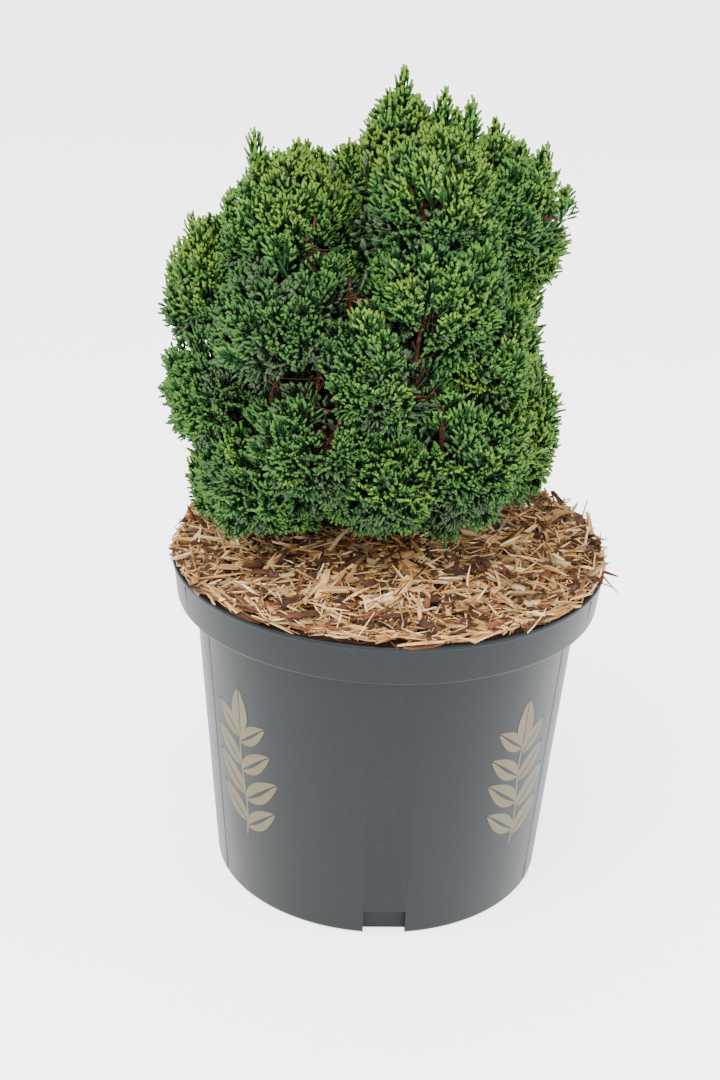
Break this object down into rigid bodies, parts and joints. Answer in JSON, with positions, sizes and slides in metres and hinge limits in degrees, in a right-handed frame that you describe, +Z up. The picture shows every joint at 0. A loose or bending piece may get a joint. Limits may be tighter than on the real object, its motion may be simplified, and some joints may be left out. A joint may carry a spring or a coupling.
{
  "type": "dwarf hinoki cypress in a nursery pot",
  "caption": "Compact dwarf hinoki cypress with a dense lobed crown on a short leaning trunk, in a round tapered nursery pot topped with wood mulch.",
  "frame": {"origin": "centre of the pot's flat underside, on the surface that the pot stands on", "axes": "+Z up along the pot's axis; +X to the plant's right and -Y to its front, as it is seen from the front"},
  "size_m": [0.1882, 0.177, 0.333],
  "materials": {
    "pot": "satin slate-grey moulded plastic",
    "root_ball": "moist dark compost",
    "mulch": "shredded wood chips and bark",
    "bark": "stringy red-brown bark",
    "foliage": "satin scale-leaved green foliage"
  },
  "bodies": {
    "root": {"pot": "pot", "root_ball": "root_ball", "mulch": "mulch", "trunk": "bark", "bough_upper_front": "bark", "bough_upper_right": "bark", "bough_upper_left": "bark", "bough_middle_front": "bark", "bough_upper_middle": "bark", "bough_upper_back": "bark", "bough_upper_back_left": "bark", "bough_upper_back_right": "bark", "bough_far_right": "bark", "bough_centre_right": "bark", "bough_centre_front": "bark", "bough_centre_left": "bark", "bough_left_shoulder": "bark", "bough_left_middle": "bark", "bough_middle_back_left": "bark", "bough_middle_back": "bark", "bough_middle_back_right": "bark", "bough_right_middle": "bark", "bough_lower_right": "bark", "bough_lower_front_right": "bark", "bough_lower_front": "bark", "bough_lower_front_left": "bark", "bough_lower_left": "bark", "bough_lower_far_left": "bark", "bough_lower_back_left": "bark", "bough_lower_back": "bark", "bough_lower_back_right": "bark", "foliage_leader": "foliage", "foliage_upper_front": "foliage", "foliage_upper_right": "foliage", "foliage_upper_left": "foliage", "foliage_middle_front": "foliage", "foliage_upper_middle": "foliage", "foliage_upper_back": "foliage", "foliage_upper_back_left": "foliage", "foliage_upper_back_right": "foliage", "foliage_far_right": "foliage", "foliage_centre_right": "foliage", "foliage_centre_front": "foliage", "foliage_centre_left": "foliage", "foliage_left_shoulder": "foliage", "foliage_left_middle": "foliage", "foliage_middle_back_left": "foliage", "foliage_middle_back": "foliage", "foliage_middle_back_right": "foliage", "foliage_right_middle": "foliage", "foliage_lower_right": "foliage", "foliage_lower_front_right": "foliage", "foliage_lower_front": "foliage", "foliage_lower_front_left": "foliage", "foliage_lower_left": "foliage", "foliage_lower_far_left": "foliage", "foliage_lower_back_left": "foliage", "foliage_lower_back": "foliage", "foliage_lower_back_right": "foliage"}
  },
  "joints": []
}
